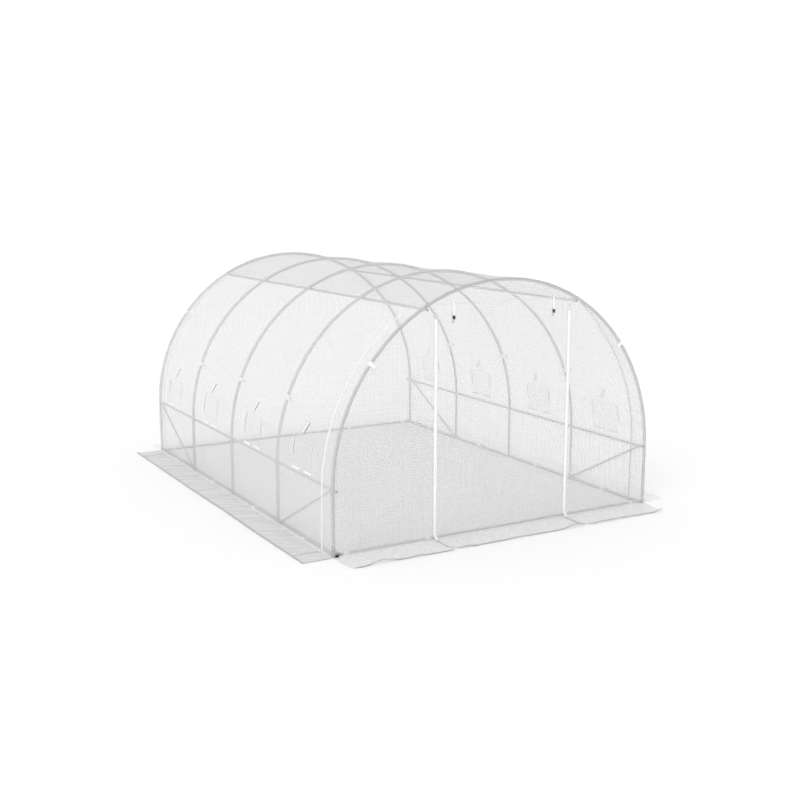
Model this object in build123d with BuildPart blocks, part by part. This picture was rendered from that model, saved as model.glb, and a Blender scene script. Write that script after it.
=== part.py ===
from build123d import *
import os
from math import asin, cos, degrees, radians, sin

# Polytunnel greenhouse: bent tube arches under a film cover, with film end walls,
# a zipped roll-up door, roll-up windows along both sides and skirts that lie on the ground.
# X runs across, +Y towards the back, +Z up. The origin is on the ground at the middle.

# Frame of tubes, drawn with few sides so that the long bends stay light
width = 3000
length = 4000
height = 2000
arch_count = 5
tube_diameter = 25
rail_diameter = 22
brace_diameter = 19
tube_sides = 8
purlin_angle = 61.6
clearance = 0.3
overrun = 5

# Caps on the tube ends
foot_wall = 1
foot_floor = 3
foot_depth = 35
rail_cap = 3

# White ties that hold the film to the tubes
tie_wall = 1
tie_width = 36
end_tie_angle = 38
middle_tie_angle = 21
corner_tie_inset = 90
door_tie_gap = 45

# Braces with flattened ends
brace_tongue = 6
brace_lap = 40
brace_slope = 25
brace_past_bolt = 20
brace_setback = 40
brace_foot_rise = 10

# Film cover, drawn thicker than the real film
film = 2
haunch_angle = 30
shoulder_angle = 60
crown_angle = 90

# Welded edge bands along both end arches
band_film = 1.5
band_low_width = 200
band_high_width = 120
band_low_height = 600
band_high_angle = 33

# Front wall
door_width = 1250
door_headroom = 168
zip_width = 45
zip_stop = 62
zip_rib_width = 12
zip_rib = 2

# Straps that tie the rolled-up door
strap_place = 470
strap_width = 14
strap_drop = 92
strap_film = 1.5
buckle_width = 22
buckle_height = 34
buckle_thickness = 6
buckle_corner = 4
buckle_slot_width = 15
buckle_slot_height = 5
tail_width = 14
tail_drop = 40

# Roll-up windows
window_width = 320
window_sill = 60
window_rise = 240
window_shift = 18
net_lap = 15
net_film = 1
flap_lap = 22
fastener_film = 1.5
strip_width = 12
strip_sill = 150
tab_spread = 210
tab_width = 100
tab_height = 30
window_tie_sill = 345
window_tie_rise = 72
window_tie_lean = 55
window_tie_width = 14

# Skirts
side_skirt_reach = 255
end_skirt_reach = 285
skirt_corner = 85
skirt_split = 4

tube_radius = tube_diameter / 2
rail_radius = rail_diameter / 2
brace_radius = brace_diameter / 2
arch_radius = width / 2 - tube_radius
springing = height - width / 2
end_place = length / 2 - tube_radius
bay = 2 * end_place / (arch_count - 1)
arch_places = [-end_place + bay * number for number in range(arch_count)]
bay_places = [place + bay / 2 for place in arch_places[:-1]]
window_places = [place + window_shift for place in bay_places]
door_top = height - door_headroom
zip_top = door_top - zip_stop

tie_inner = tube_radius + clearance
tie_outer = tie_inner + tie_wall
foot_outer = tube_radius + clearance + foot_wall
film_standoff = max(tie_outer, foot_outer) + clearance

cover_inner = arch_radius + film_standoff
cover_outer = cover_inner + film
wall_inner = end_place + film_standoff
wall_outer = wall_inner + film
skin_inner = cover_outer + clearance
wall_skin = wall_outer + clearance

rail_orbit = arch_radius - tube_radius - clearance - rail_radius
base_rail_place = arch_radius - foot_outer - clearance - rail_radius
base_rail_height = rail_radius + clearance + tie_wall
cross_rail_place = end_place - foot_outer - clearance - rail_radius
brace_place = rail_orbit + rail_radius + clearance + brace_radius

SIDES = {"left": -1, "right": 1}
os.makedirs("parts", exist_ok=True)


def save(piece, name):
    """Labels a finished piece and writes it to its own file."""
    piece.part.label = name
    export_step(piece.part, f"parts/{name}.step")


def on_arch(radius, angle, side=1):
    """A point of the arch's plane, at an angle up from the springing line."""
    across = side * radius * cos(radians(angle))
    return (across, springing + radius * sin(radians(angle)))


def angle_at(rise, radius):
    """The angle at which a circle about the arch's centre is a rise above the springing line."""
    return degrees(asin(rise / radius))


def arch_outline(half_width, bottom=0, mode=Mode.ADD):
    """Straight legs under a half circle, filled, in the open sketch."""
    with BuildLine() as edge:
        Polyline(
            (half_width, springing),
            (half_width, bottom),
            (-half_width, bottom),
            (-half_width, springing),
        )
        ThreePointArc(
            (-half_width, springing), (0, springing + half_width), (half_width, springing)
        )
    make_face(edge.edges(), mode=mode)


def arch_strip(inner, outer, low, high, side):
    """A strip of film that follows the bend between two angles, in the open sketch."""
    middle = (low + high) / 2
    with BuildLine() as edge:
        ThreePointArc(*[on_arch(outer, angle, side) for angle in (low, middle, high)])
        Line(on_arch(outer, high, side), on_arch(inner, high, side))
        ThreePointArc(*[on_arch(inner, angle, side) for angle in (high, middle, low)])
        Line(on_arch(inner, low, side), on_arch(outer, low, side))
    make_face(edge.edges())


def facing_front(place):
    """The upright plane across the tunnel at a place along it, which faces the front."""
    return Plane.XZ.offset(-place)


def bent_patch(inner, thickness, low_rise, high_rise, place, breadth, side):
    """Adds a patch of bent film to the open part, between two rises at a place along the tunnel."""
    outer = inner + thickness
    with BuildSketch(facing_front(place + breadth / 2)) as section:
        arch_strip(inner, outer, angle_at(low_rise, outer), angle_at(high_rise, outer), side)
    extrude(section.sketch, amount=breadth)


# Arches: each one is a tube bent over a half circle, with straight legs that stand in foot caps
arch_names = ("front_arch", "second_arch", "middle_arch", "fourth_arch", "back_arch")
for name, place in zip(arch_names, arch_places):
    with BuildPart() as arch:
        with BuildSketch(Plane.XY.offset(springing)):
            with Locations((arch_radius, place)):
                RegularPolygon(tube_radius, tube_sides)
        revolve(axis=Axis((0, place, springing), (0, -1, 0)), revolution_arc=180)
        with BuildSketch(Plane.XY.offset(foot_floor)):
            with Locations((-arch_radius, place), (arch_radius, place)):
                RegularPolygon(tube_radius, tube_sides)
        extrude(amount=springing - foot_floor)
    save(arch, name)

# Foot caps: a cup under every leg
with BuildPart() as foot_caps:
    foot_spots = [(side * arch_radius, place) for side in SIDES.values() for place in arch_places]
    with BuildSketch():
        with Locations(*foot_spots):
            RegularPolygon(foot_outer, tube_sides)
    extrude(amount=foot_depth)
    with BuildSketch(Plane.XY.offset(foot_floor)):
        with Locations(*foot_spots):
            RegularPolygon(tube_radius + clearance, tube_sides)
    extrude(amount=foot_depth, mode=Mode.SUBTRACT)
save(foot_caps, "foot_caps")

# Long tubes: side rails and purlins run inside the arches, the base rails along the ground
rail_reach = length / 2 - rail_cap
purlin_spot = on_arch(rail_orbit, purlin_angle)
rail_spots = {"side_rail": (rail_orbit, springing), "purlin": purlin_spot}
for side_name, side in SIDES.items():
    for rail_name, (across, up) in rail_spots.items():
        with BuildPart() as rail:
            with BuildSketch(Plane.XZ):
                with Locations((side * across, up)):
                    RegularPolygon(rail_radius, tube_sides)
            extrude(amount=rail_reach, both=True)
        save(rail, f"{side_name}_{rail_name}")

base_rail_spots = [(side * base_rail_place, base_rail_height) for side in SIDES.values()]
with BuildPart() as side_base_rails:
    with BuildSketch(Plane.XZ):
        with Locations(*base_rail_spots):
            RegularPolygon(rail_radius, tube_sides)
    extrude(amount=rail_reach, both=True)
save(side_base_rails, "side_base_rails")

cross_rail_spots = [(end * cross_rail_place, base_rail_height) for end in (-1, 1)]
with BuildPart() as cross_base_rails:
    with BuildSketch(Plane.YZ):
        with Locations(*cross_rail_spots):
            RegularPolygon(rail_radius, tube_sides)
    extrude(amount=base_rail_place - rail_radius - clearance, both=True)
save(cross_base_rails, "cross_base_rails")

# End caps: a disc closes both ends of every long tube
with BuildPart() as rail_end_caps:
    capped_spots = list(base_rail_spots)
    for side in SIDES.values():
        capped_spots += [(side * across, up) for across, up in rail_spots.values()]
    for start in (-length / 2, rail_reach):
        with BuildSketch(facing_front(start + rail_cap)):
            with Locations(*capped_spots):
                RegularPolygon(rail_radius, tube_sides)
        extrude(amount=rail_cap)
save(rail_end_caps, "rail_end_caps")


def add_brace(side, end):
    """Adds a brace outside the rails, from the end arch down to the foot of the next arch."""
    top = Vector(side * brace_place, end * (end_place - brace_setback), springing)
    foot_height = base_rail_height + brace_foot_rise
    foot = Vector(side * brace_place, end * (end_place - bay + brace_setback), foot_height)
    along = (foot - top).normalized()
    start = top - along * brace_past_bolt
    reach = (foot - top).length + 2 * brace_past_bolt
    with BuildSketch(Plane(start, x_dir=(side, 0, 0), z_dir=along)) as section:
        RegularPolygon(brace_radius, tube_sides)
    extrude(section.sketch, amount=reach)
    kept = brace_tongue - brace_radius
    outward = Vector(side, 0, 0)
    with BuildSketch(Plane(start, x_dir=along, z_dir=along.cross(outward))) as flats:
        for near, turn in ((0, 1), (reach, -1)):
            with BuildLine():
                Polyline(
                    (near - turn * overrun, kept),
                    (near + turn * brace_lap, kept),
                    (near + turn * (brace_lap + brace_slope), brace_radius + overrun),
                    (near - turn * overrun, brace_radius + overrun),
                    close=True,
                )
            make_face()
    extrude(flats.sketch, amount=brace_diameter, both=True, mode=Mode.SUBTRACT)


# Braces: one in each end bay of both sides
for side_name, side in SIDES.items():
    with BuildPart() as braces:
        for end in (-1, 1):
            add_brace(side, end)
    save(braces, f"{side_name}_braces")

# Ties: white rings round the arches and round all base rails, where the film is tied on
door_half = door_width / 2
with BuildPart() as tube_ties:
    for place in arch_places:
        angle = end_tie_angle if abs(place) > end_place - bay / 2 else middle_tie_angle
        for side in SIDES.values():
            across, up = on_arch(arch_radius, angle, side)
            outward = Vector(side * cos(radians(angle)), 0, sin(radians(angle)))
            tangent = outward.cross(Vector(0, 1, 0))
            with BuildSketch(Plane((across, place, up), x_dir=outward, z_dir=tangent)):
                RegularPolygon(tie_outer, tube_sides)
                RegularPolygon(tie_inner, tube_sides, mode=Mode.SUBTRACT)
            extrude(amount=tie_width / 2, both=True)
    for place in bay_places:
        with BuildSketch(facing_front(place + tie_width / 2)):
            with Locations(*base_rail_spots):
                RegularPolygon(base_rail_height, tube_sides)
                RegularPolygon(rail_radius + clearance, tube_sides, mode=Mode.SUBTRACT)
        extrude(amount=tie_width)
    for tie_place in (base_rail_place - corner_tie_inset, door_half + door_tie_gap):
        for side in SIDES.values():
            with BuildSketch(Plane.YZ.offset(side * tie_place - tie_width / 2)):
                with Locations(*cross_rail_spots):
                    RegularPolygon(base_rail_height, tube_sides)
                    RegularPolygon(rail_radius + clearance, tube_sides, mode=Mode.SUBTRACT)
            extrude(amount=tie_width)
save(tube_ties, "tube_ties")

# Cover: upright sides, then bent strips that meet over the roof
for side_name, side in SIDES.items():
    with BuildPart() as side_cover:
        with BuildSketch(Plane.XZ):
            with Locations((side * (cover_inner + cover_outer) / 2, springing / 2)):
                Rectangle(film, springing)
        extrude(amount=wall_outer, both=True)
    save(side_cover, f"{side_name}_side_cover")

    with BuildPart() as haunch_cover:
        with BuildSketch(Plane.XZ):
            arch_strip(cover_inner, cover_outer, 0, haunch_angle, side)
        extrude(amount=wall_outer, both=True)
        with BuildSketch(Plane.YZ):
            with Locations(*[(place, springing + window_sill + window_rise / 2) for place in window_places]):
                Rectangle(window_width, window_rise)
        extrude(amount=side * (cover_outer + overrun), mode=Mode.SUBTRACT)
    save(haunch_cover, f"{side_name}_haunch_cover")

    with BuildPart() as shoulder_cover:
        with BuildSketch(Plane.XZ):
            arch_strip(cover_inner, cover_outer, haunch_angle, shoulder_angle, side)
        extrude(amount=wall_outer, both=True)
    save(shoulder_cover, f"{side_name}_shoulder_cover")

with BuildPart() as roof_cover:
    with BuildSketch(Plane.XZ):
        for side in SIDES.values():
            arch_strip(cover_inner, cover_outer, shoulder_angle, crown_angle, side)
    extrude(amount=wall_outer, both=True)
save(roof_cover, "roof_cover")

# Edge bands: the end walls' hems, turned over the end arches and welded on, wider near the ground
for end_name, end in (("front", -1), ("back", 1)):
    with BuildPart() as edge_band:
        with BuildSketch(Plane.XZ.offset(-end * (wall_outer - band_low_width))):
            arch_outline(skin_inner + band_film, bottom=film + clearance)
            arch_outline(skin_inner, mode=Mode.SUBTRACT)
        extrude(amount=-end * band_low_width)
        low_edge = end * (wall_outer - band_low_width)
        high_edge = end * (wall_outer - band_high_width)
        high_point = springing + skin_inner * sin(radians(band_high_angle))
        past_top = height + film_standoff + film + band_film + overrun
        with BuildSketch(Plane.YZ):
            with BuildLine():
                Polyline(
                    (low_edge - end * overrun, band_low_height),
                    (low_edge, band_low_height),
                    (high_edge, high_point),
                    (high_edge, past_top),
                    (low_edge - end * overrun, past_top),
                    close=True,
                )
            make_face()
        extrude(amount=width, both=True, mode=Mode.SUBTRACT)
    save(edge_band, f"{end_name}_edge_band")

# End walls: flat film inside the arch outline. The front is split beside and over the door.
wall_radius = cover_inner - clearance
front_cuts = {
    "front_left_panel": (-wall_radius, -door_half, 0, door_top),
    "front_door": (-door_half, door_half, 0, door_top),
    "front_right_panel": (door_half, wall_radius, 0, door_top),
    "front_top_panel": (-wall_radius, wall_radius, door_top, springing + wall_radius),
}
for name, (low_x, high_x, low_z, high_z) in front_cuts.items():
    with BuildPart() as front_piece:
        with BuildSketch(facing_front(-wall_inner)):
            arch_outline(wall_radius)
            with Locations(((low_x + high_x) / 2, (low_z + high_z) / 2)):
                Rectangle(high_x - low_x, high_z - low_z, mode=Mode.INTERSECT)
        extrude(amount=film)
    save(front_piece, name)

with BuildPart() as back_wall:
    with BuildSketch(facing_front(wall_outer)):
        arch_outline(wall_radius)
    extrude(amount=film)
save(back_wall, "back_wall")

# Door zips: a flat tape over each side of the door, with the chain as a rib down its middle
zip_foot = film + clearance
zip_middle = (zip_foot + zip_top) / 2
with BuildPart() as door_zips:
    with BuildSketch(facing_front(-wall_skin)):
        with Locations((-door_half, zip_middle), (door_half, zip_middle)):
            Rectangle(zip_width, zip_top - zip_foot)
    extrude(amount=film)
    with BuildSketch(facing_front(-wall_skin - film)):
        with Locations((-door_half, zip_middle), (door_half, zip_middle)):
            Rectangle(zip_rib_width, zip_top - zip_foot)
    extrude(amount=zip_rib)
save(door_zips, "door_zips")

# Door straps: webbing sewn on under the door's top seam, with a buckle and a loose tail
strap_end = door_top - strap_drop
with BuildPart() as door_straps:
    with BuildSketch(facing_front(-wall_skin)):
        with Locations((-strap_place, door_top - strap_drop / 2), (strap_place, door_top - strap_drop / 2)):
            Rectangle(strap_width, strap_drop)
    extrude(amount=strap_film)
save(door_straps, "door_straps")

buckle_top = strap_end - clearance
buckle_middle = buckle_top - buckle_height / 2
slot_drop = (buckle_height - buckle_slot_height) / 2 - buckle_corner
tail_top = buckle_top - buckle_height - clearance
with BuildPart() as strap_buckles:
    with BuildSketch(facing_front(-wall_skin)) as buckle_faces:
        with Locations((-strap_place, buckle_middle), (strap_place, buckle_middle)):
            Rectangle(buckle_width, buckle_height)
        chamfer(buckle_faces.vertices(), buckle_corner)
        for place in (-strap_place, strap_place):
            with Locations((place, buckle_middle - slot_drop), (place, buckle_middle + slot_drop)):
                Rectangle(buckle_slot_width, buckle_slot_height, mode=Mode.SUBTRACT)
    extrude(amount=buckle_thickness)
    with BuildSketch(facing_front(-wall_skin)):
        with Locations((-strap_place, tail_top - tail_drop / 2), (strap_place, tail_top - tail_drop / 2)):
            Rectangle(tail_width, tail_drop)
    extrude(amount=strap_film)
save(strap_buckles, "strap_buckles")

# Windows: a net inside each opening, a flap outside it, and the strips, tabs and tie that hold the flap
net_inner = cover_inner - clearance - net_film
fastener_inner = skin_inner + band_film + clearance
flap_width = window_width + 2 * flap_lap
window_top = window_sill + window_rise
for side_name, side in SIDES.items():
    with BuildPart() as window_nets:
        for place in window_places:
            bent_patch(
                net_inner,
                net_film,
                window_sill - net_lap,
                window_top + net_lap,
                place,
                window_width + 2 * net_lap,
                side,
            )
    save(window_nets, f"{side_name}_window_nets")

    with BuildPart() as window_flaps:
        for place in window_places:
            bent_patch(
                skin_inner,
                band_film,
                window_sill - flap_lap,
                window_top + flap_lap,
                place,
                flap_width,
                side,
            )
    save(window_flaps, f"{side_name}_window_flaps")

    with BuildPart() as window_fasteners:
        tie_outer_face = skin_inner + fastener_film
        tie_top = window_tie_sill + window_tie_rise
        tie_low_angle = angle_at(window_tie_sill, tie_outer_face)
        tie_high_angle = angle_at(tie_top, tie_outer_face)
        with BuildSketch(Plane.XZ):
            arch_strip(skin_inner, tie_outer_face, tie_low_angle, tie_high_angle, side)
        extrude(amount=wall_outer, both=True)
        with BuildSketch(Plane.YZ):
            for place in window_places:
                with BuildLine():
                    Polyline(
                        (place, springing + window_tie_sill),
                        (place + window_tie_width, springing + window_tie_sill),
                        (place + window_tie_width - window_tie_lean, springing + tie_top),
                        (place - window_tie_lean, springing + tie_top),
                        close=True,
                    )
                make_face()
        extrude(amount=side * (tie_outer_face + overrun), mode=Mode.INTERSECT)
        strip_spread = flap_width - strip_width
        tab_low = window_sill - tab_height
        for place in window_places:
            for hand in (-1, 1):
                strip_at = place + hand * strip_spread / 2
                bent_patch(
                    fastener_inner, fastener_film, strip_sill, window_top, strip_at, strip_width, side
                )
                tab_at = place + hand * tab_spread / 2
                bent_patch(
                    fastener_inner, fastener_film, tab_low, window_sill, tab_at, tab_width, side
                )
    save(window_fasteners, f"{side_name}_window_fasteners")

# Skirts: film that lies on the ground round the tunnel, in one strip behind and beside it
# and in three strips in front, so that the middle one goes up with the door. Their left ends are rounded.
for side_name, side in SIDES.items():
    with BuildPart() as side_skirt:
        with BuildSketch():
            with Locations((side * (skin_inner + side_skirt_reach / 2), 0)):
                Rectangle(side_skirt_reach, 2 * wall_outer)
        extrude(amount=film)
    save(side_skirt, f"{side_name}_skirt")

front_skirts = {
    "front_left_skirt": (-cover_outer, -door_half - skirt_split / 2),
    "door_skirt": (-door_half + skirt_split / 2, door_half - skirt_split / 2),
    "front_right_skirt": (door_half + skirt_split / 2, cover_outer),
}
end_skirts = {name: (-1, *reach) for name, reach in front_skirts.items()}
end_skirts["back_skirt"] = (1, -cover_outer, cover_outer)
for name, (end, low_x, high_x) in end_skirts.items():
    with BuildPart() as end_skirt:
        with BuildSketch():
            with Locations(((low_x + high_x) / 2, end * (wall_skin + end_skirt_reach / 2))):
                Rectangle(high_x - low_x, end_skirt_reach)
        extrude(amount=film)
        outer_corners = end_skirt.edges().filter_by(Axis.Z).group_by(Axis.Y)[0 if end < 0 else -1]
        fillet(outer_corners.sort_by(Axis.X)[:1] if end < 0 else outer_corners, skirt_corner)
    save(end_skirt, name)
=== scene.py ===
from math import asin, copysign, cos, pi, radians, sin, sqrt

import bmesh
import bpy
from mathutils import Matrix, Vector, noise


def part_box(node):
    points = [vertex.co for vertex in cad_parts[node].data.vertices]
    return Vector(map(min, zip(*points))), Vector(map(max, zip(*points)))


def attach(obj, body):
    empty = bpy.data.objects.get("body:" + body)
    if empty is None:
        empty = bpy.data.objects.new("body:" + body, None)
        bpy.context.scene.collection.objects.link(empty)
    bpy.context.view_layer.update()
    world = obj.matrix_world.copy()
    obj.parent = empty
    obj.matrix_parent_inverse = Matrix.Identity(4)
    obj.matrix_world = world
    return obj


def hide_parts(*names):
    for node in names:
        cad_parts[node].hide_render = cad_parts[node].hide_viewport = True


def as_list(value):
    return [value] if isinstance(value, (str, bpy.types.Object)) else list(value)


# Polytunnel greenhouse: round galvanised tubes under one film cover that runs from ground to ground,
# film end walls, a zipped roll-up door, netted windows with flaps, and skirts that lie on the ground.

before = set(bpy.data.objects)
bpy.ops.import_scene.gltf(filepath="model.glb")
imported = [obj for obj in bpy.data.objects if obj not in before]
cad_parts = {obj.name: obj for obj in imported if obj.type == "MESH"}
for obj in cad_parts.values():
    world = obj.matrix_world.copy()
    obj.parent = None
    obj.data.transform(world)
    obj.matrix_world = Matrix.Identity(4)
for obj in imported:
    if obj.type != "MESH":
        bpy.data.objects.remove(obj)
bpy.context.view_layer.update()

ARCHES = ("front_arch", "second_arch", "middle_arch", "fourth_arch", "back_arch")
COVERS = (
    "left_side_cover",
    "left_haunch_cover",
    "left_shoulder_cover",
    "roof_cover",
    "right_shoulder_cover",
    "right_haunch_cover",
    "right_side_cover",
)
SIDES = {"left": -1, "right": 1}
ENDS = {"front": -1, "back": 1}
BOTH = (-1, 1)
UP = Vector((0, 0, 1))
ALONG = Vector((0, 1, 0))
ACROSS = Vector((1, 0, 0))


def middle(node):
    """The middle of a solid's box."""
    low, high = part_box(node)
    return (low + high) / 2


def high_corner(node):
    """The high corner of a solid's box."""
    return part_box(node)[1]


# Tube frame, read from the solids
arch_low, arch_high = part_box("front_arch")
tube_radius = (arch_high.y - arch_low.y) / 2
arch_radius = arch_high.x - tube_radius
springing = arch_high.z - arch_high.x
leg_foot = arch_low.z
arch_places = [middle(name).y for name in ARCHES]
end_place = arch_places[-1]
bay = arch_places[1] - arch_places[0]
bay_places = [place + bay / 2 for place in arch_places[:-1]]
rail_low, rail_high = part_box("right_side_rail")
rail_radius = (rail_high.x - rail_low.x) / 2
rail_reach = rail_high.y
rail_orbit = middle("right_side_rail").x
base_rail_place = high_corner("side_base_rails").x - rail_radius
base_rail_height = middle("side_base_rails").z
cross_rail_place = high_corner("cross_base_rails").y - rail_radius
cross_rail_reach = high_corner("cross_base_rails").x
purlin_angle = asin((middle("right_purlin").z - springing) / rail_orbit)
cap_reach = high_corner("rail_end_caps").y
foot_radius = high_corner("foot_caps").x - arch_radius
foot_depth = high_corner("foot_caps").z

# Tube details
tube_facets = 24
arch_steps = 36
joint_groove = 0.0012
joint_neck_share = 0.94
bolt_facets = 12
bolt_head = 0.0065
bolt_dome = 0.0013
nut_facets = 6
nut_radius = 0.0055
nut_depth = 0.0045
thread_radius = 0.003
brace_radius = 0.0095
brace_tongue = 0.003
brace_tongue_width = 0.0125
brace_tip_share = 0.8
brace_tip_width_share = 0.7
brace_lap = 0.04
brace_slope = 0.025
brace_past_bolt = 0.02
brace_setback = 0.04
brace_foot_rise = 0.01
slit_plug_share = 3.5
smooth_below = radians(40)

# Turned shapes, in shares of their depth and of their radius
DOME = ((0, 1), (0.4, 1), (0.85, 0.65), (1, 0.2))
NUT = ((0, 0.92), (0.15, 1), (0.85, 1), (1, 0.92))
THREAD = ((0, 1), (1.5, 1), (1.7, 0.7))
PLUG = ((0, 1), (0.6, 1), (0.9, 0.88), (1.1, 0.6), (1.15, 0.2))
KNOT = ((-0.7, 0.25), (-0.5, 0.5), (0, 0.6), (0.5, 0.5), (0.7, 0.25))

# White ties round the tubes
tie_width = 0.042
tie_wall = 0.001
tie_gap = 0.0003
tie_flat_share = 0.8
knot_rise_share = 0.3
end_tie_angle = radians(38)
middle_tie_angle = radians(21)
corner_tie_inset = 0.09
door_tie_gap = 0.045
tail_width = 0.010
tail_length = 0.06
tail_rows = 6
tail_splay_share = 0.35
tail_bow_share = 0.075
tail_curl = 0.006
steep_share = 0.5
tab_reach = 0.042
tab_breadth = 0.030
tab_rows = 16
arch_tab_shift = 0.050
arch_tab_breadth = 0.052
arch_tab_height = 0.036
base_tab_breadth = 0.06
base_tab_height = 0.018

# Film cover
film = 0.0006
film_radius = middle("right_side_cover").x
film_stand = film_radius - arch_radius
wall_place = end_place + film_stand
crown_to_spring = film_radius * pi / 2
ground_gap = 0.003
cover_reach = crown_to_spring + springing - ground_gap
end_roll = film_stand * pi / 2
film_cell = 0.045
arc_cell = film_radius * radians(1.5)
cut_reach = 1e-6
roll_steps = 6
crown_slack = 0.014
side_slack = 0.005
slack_fade = 0.25
corner_slit = 0.075
weave = 0.016
thread_share = 0.4
roof_margin = 0.03
roof_reach = film_radius * (pi / 2 - purlin_angle) + roof_margin
roof_fade = 0.02
roof_cloud = 0.03
tight_share = 0.42
tight_reach = 1.4
end_clear_share = 0.45

# Edge bands over the end arches
band_lift = 0.0012
band_low = 0.190
band_high = 0.165
right_band_more = 0.030
right_band_start = 0.45
right_band_rise = 0.50
band_edge = high_corner("right_side_cover").y
band_cell = 0.008
hem_top_angle = radians(57)
hem_width = 0.021
hem_lift = 0.0022
hem_film = 0.0010
lining_width = 0.008

# End walls and door
door_half = high_corner("front_door").x
door_top = high_corner("front_door").z
wall_columns = 64
wall_rows = 44
billow = 0.0045
billow_edge = 0.25
seam_width = 0.022
seam_rows = 2
foot_hem_height = 0.016

# Zips, whose sliders are rings of a distance along, a half width, a half depth and no shift
zip_half = high_corner("door_zips").x - door_half
zip_top = high_corner("door_zips").z
zip_tape = 0.0015
zip_rib_half = 0.0135
zip_rib = 0.0065
zip_coil_half = 0.004
zip_columns = 14
zip_cell = 0.02
zip_cover_drop = 0.055
zip_flare_height = 0.06
zip_flare = 0.018
edging_columns = 4
slider_out = 0.001
pull_tab_out = 0.006
pull_tab_up = 0.008
pull_tab_lean = 0.25
SLIDER = (
    (0, 0.006, 0.0035, 0),
    (0.004, 0.0085, 0.0045, 0),
    (0.012, 0.009, 0.0045, 0),
    (0.018, 0.0055, 0.0035, 0),
)
PULL_TAB = (
    (0, 0.003, 0.0008, 0),
    (0.006, 0.004, 0.0008, 0),
    (0.03, 0.0055, 0.0008, 0),
    (0.034, 0.004, 0.0006, 0),
)

# Straps and buckles
straps_low, straps_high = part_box("door_straps")
strap_width = 0.018
strap_film = 0.0015
strap_place = straps_high.x - strap_width / 2
strap_end = straps_low.z
strap_columns = 3
strap_rows = 12
strap_hang = 0.006
strap_lap = 0.008
buckle_width = 0.022
buckle_height = 0.034
buckle_depth = 0.006
buckle_slots = (0.25, 0.75)
buckle_slot_width = 0.015
buckle_slot_height = 0.0015
buckle_bevel = 0.0012
buckle_bevel_above = radians(60)
strap_tail_width = 0.011
strap_tail_rows = 10
strap_tail_rise = 0.012
strap_tail_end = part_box("strap_buckles")[0].z + strap_tail_rise
strap_tail_start = strap_end - buckle_height * 0.8
strap_tail_drift = 0.012
strap_tail_lift = 0.007
strap_tail_stand = 0.002

# Windows
nets_low, nets_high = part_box("right_window_nets")
flaps_low, flaps_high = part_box("right_window_flaps")
bays_apart = arch_places[-1] - arch_places[1]
net_lap = 0.015
net_breadth = nets_high.y - nets_low.y - bays_apart
flap_breadth = flaps_high.y - flaps_low.y - bays_apart
window_breadth = net_breadth - 2 * net_lap
window_low = nets_low.z + net_lap - springing
window_high = nets_high.z - net_lap - springing
window_places = [nets_low.y + net_breadth / 2 + bay * number for number in range(len(bay_places))]
net_sink = 0.0012
flap_lift = 0.0014
flap_overlap = 0.004
patch_cell_across = 0.02
patch_cell_along = 0.03
strip_width = 0.012
strip_low = 0.150
strip_shadow_width = 0.006
strip_lift = 0.0026
strip_film = 0.0012
tab_spread = 0.210
tab_width = 0.130
tab_height = 0.018
tie_shadow_width = 0.012
window_tie_low = 0.336
window_tie_high = 0.424
window_tie_lean = 0.062
window_tie_width = 0.022
window_tie_shift = 0.018

# Skirts
skirt_bend = 0.012
skirt_bend_steps = 4
skirt_film = 0.0007
skirt_cell = 0.03
skirt_edge_cuts = (0.5, 0.25, 0.1, 0.03)
skirt_rest = 0.0009
front_wave = 0.008
side_wave = 0.006
skirt_crinkle = 0.0045
skirt_fold_start = 0.06
skirt_fold_slant = 0.57
skirt_fold_bias = 0.25
skirt_end_flat = 0.06
skirt_hem = 0.009
skirt_hem_film = 0.004
lap_inset = 0.18
lap_place = end_place - lap_inset
lap_line = 0.006
lap_film = 0.0012

# Layers of soft noise: a share, a rate each way and a place in the noise
COVER_FOLDS = ((0.0035, 1.7, 2.3, 0.4), (0.0011, 7.0, 5.0, 3.1))
WALL_WAVES = ((1, 1.9, 1.3, 7.7), (0.3, 6.0, 3.0, 1.2))
SKIRT_RIPPLES = ((1, 2.6, 1, 0.5), (0.4, 6.0, 1, 2.5))
SKIRT_FOLDS = ((1, 14.0, 4.0, 4), (0.5, 29.0, 6.0, 8))
SKIRT_WANDER = ((0.008, 1.4, 1, 9.0),)

# Stage
floor_half = 60
floor_roughness = 0.9
shade_fade = 0.04
see_through_bounces = 48
sky_white = (1, 1, 1, 1)
sky_level = 0.97
sky_seen_more = 0.03
lamp_energy = 0.5
lamp_spread = radians(35)
lamp_heading = Vector((0.7, 0.45, -0.55))
camera_lens = 50.417
camera_sensor = 36
camera_place = Vector((-4.984, -9.0696, 2.6666))
camera_target = Vector((0.2217, 0.0125, 0.6942))


def greys(first, second):
    """Two plain greys that a finish varies between."""
    return (first, first, first, 1), (second, second, second, 1)


# Colours, dark and light
zinc_tones = (0.37, 0.375, 0.38, 1), (0.60, 0.605, 0.61, 1)
black_tones = (0.012, 0.012, 0.013, 1), (0.030, 0.030, 0.032, 1)
# The dark grey of the strips beside the window fasteners is painted shadow.
painted_shadow_tones = (0.22, 0.22, 0.225, 1), (0.36, 0.36, 0.365, 1)
# Grey for the front band's lining, where it is painted shade, and for the straps' loose tails.
grey_tones = (0.44, 0.44, 0.445, 1), (0.58, 0.58, 0.585, 1)
white_tones = greys(0.90, 0.97)
milky_tones = greys(0.77, 0.86)
net_tones = greys(0.62, 0.74)
film_tones = greys(0.88, 0.96)
band_tones = greys(0.92, 0.97)
skirt_tones = greys(0.84, 0.98)
front_skirt_painted_light_tones = greys(0.90, 0.98)
# The skirt hems' dark grey is painted shade of the lifted edges.
hem_painted_shade_tones = greys(0.40, 0.72)
# The roof's darker grey is painted shade.
roof_painted_shade = (0.80, 0.80, 0.80, 1)

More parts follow.
